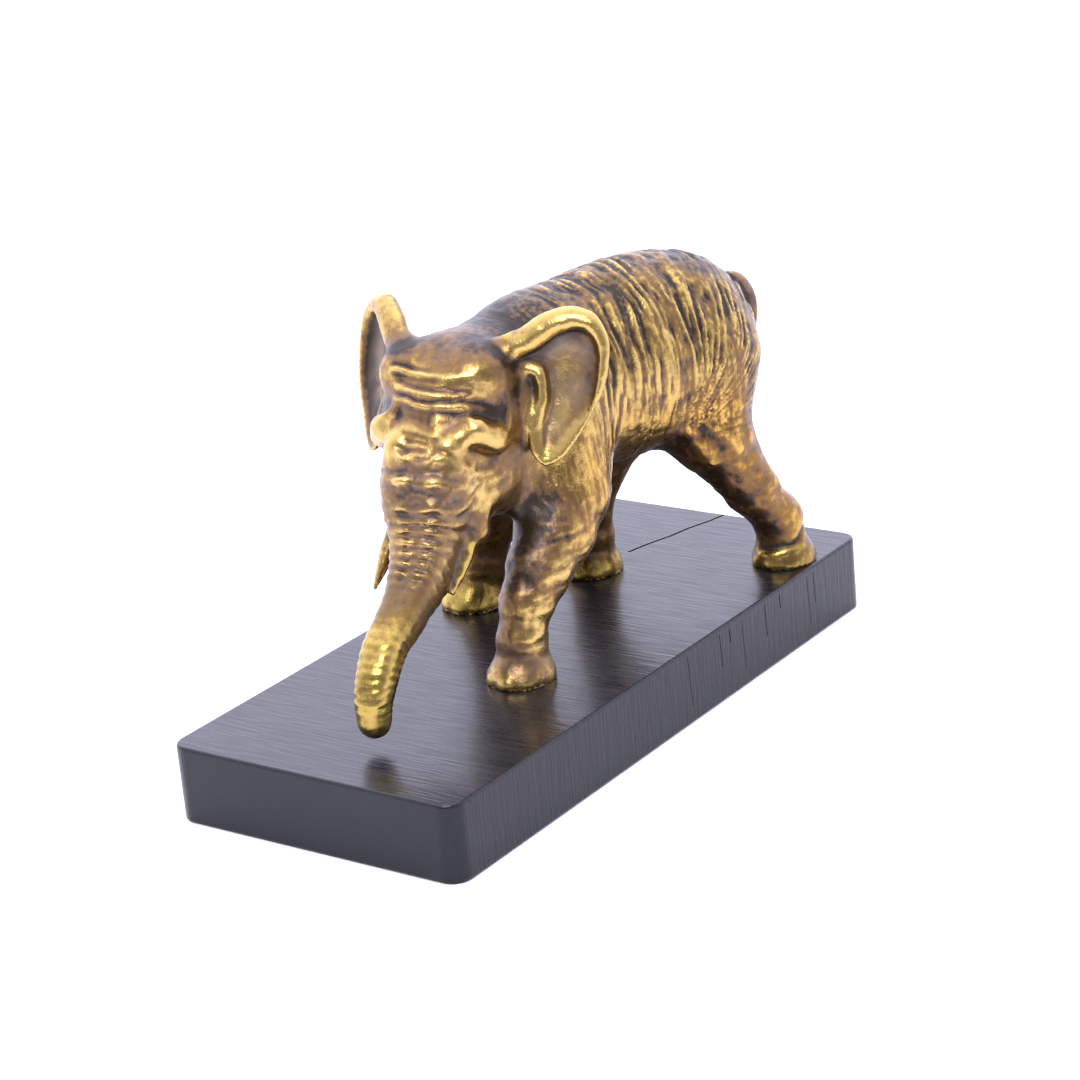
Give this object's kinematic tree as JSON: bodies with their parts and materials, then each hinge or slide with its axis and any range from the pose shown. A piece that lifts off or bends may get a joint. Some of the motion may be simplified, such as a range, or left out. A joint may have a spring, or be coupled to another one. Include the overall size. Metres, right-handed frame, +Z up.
{
  "type": "elephant sculpture",
  "caption": "Small walking elephant cast in patinated bronze, head turned and trunk reaching forward, standing on a rectangular ebonised wooden base.",
  "frame": {"origin": "middle of the underside of the base", "axes": "+X along the base towards the end under the trunk's tip, +Y to the elephant's left, +Z up"},
  "size_m": [0.15, 0.0684, 0.0882],
  "materials": {
    "ebonised_wood": "black stained, satin, with saw marks",
    "patinated_bronze": "polished on the high places, dark brown patina in the hollows"
  },
  "bodies": {
    "root": {"base": "ebonised_wood", "elephant": "patinated_bronze"}
  },
  "joints": []
}
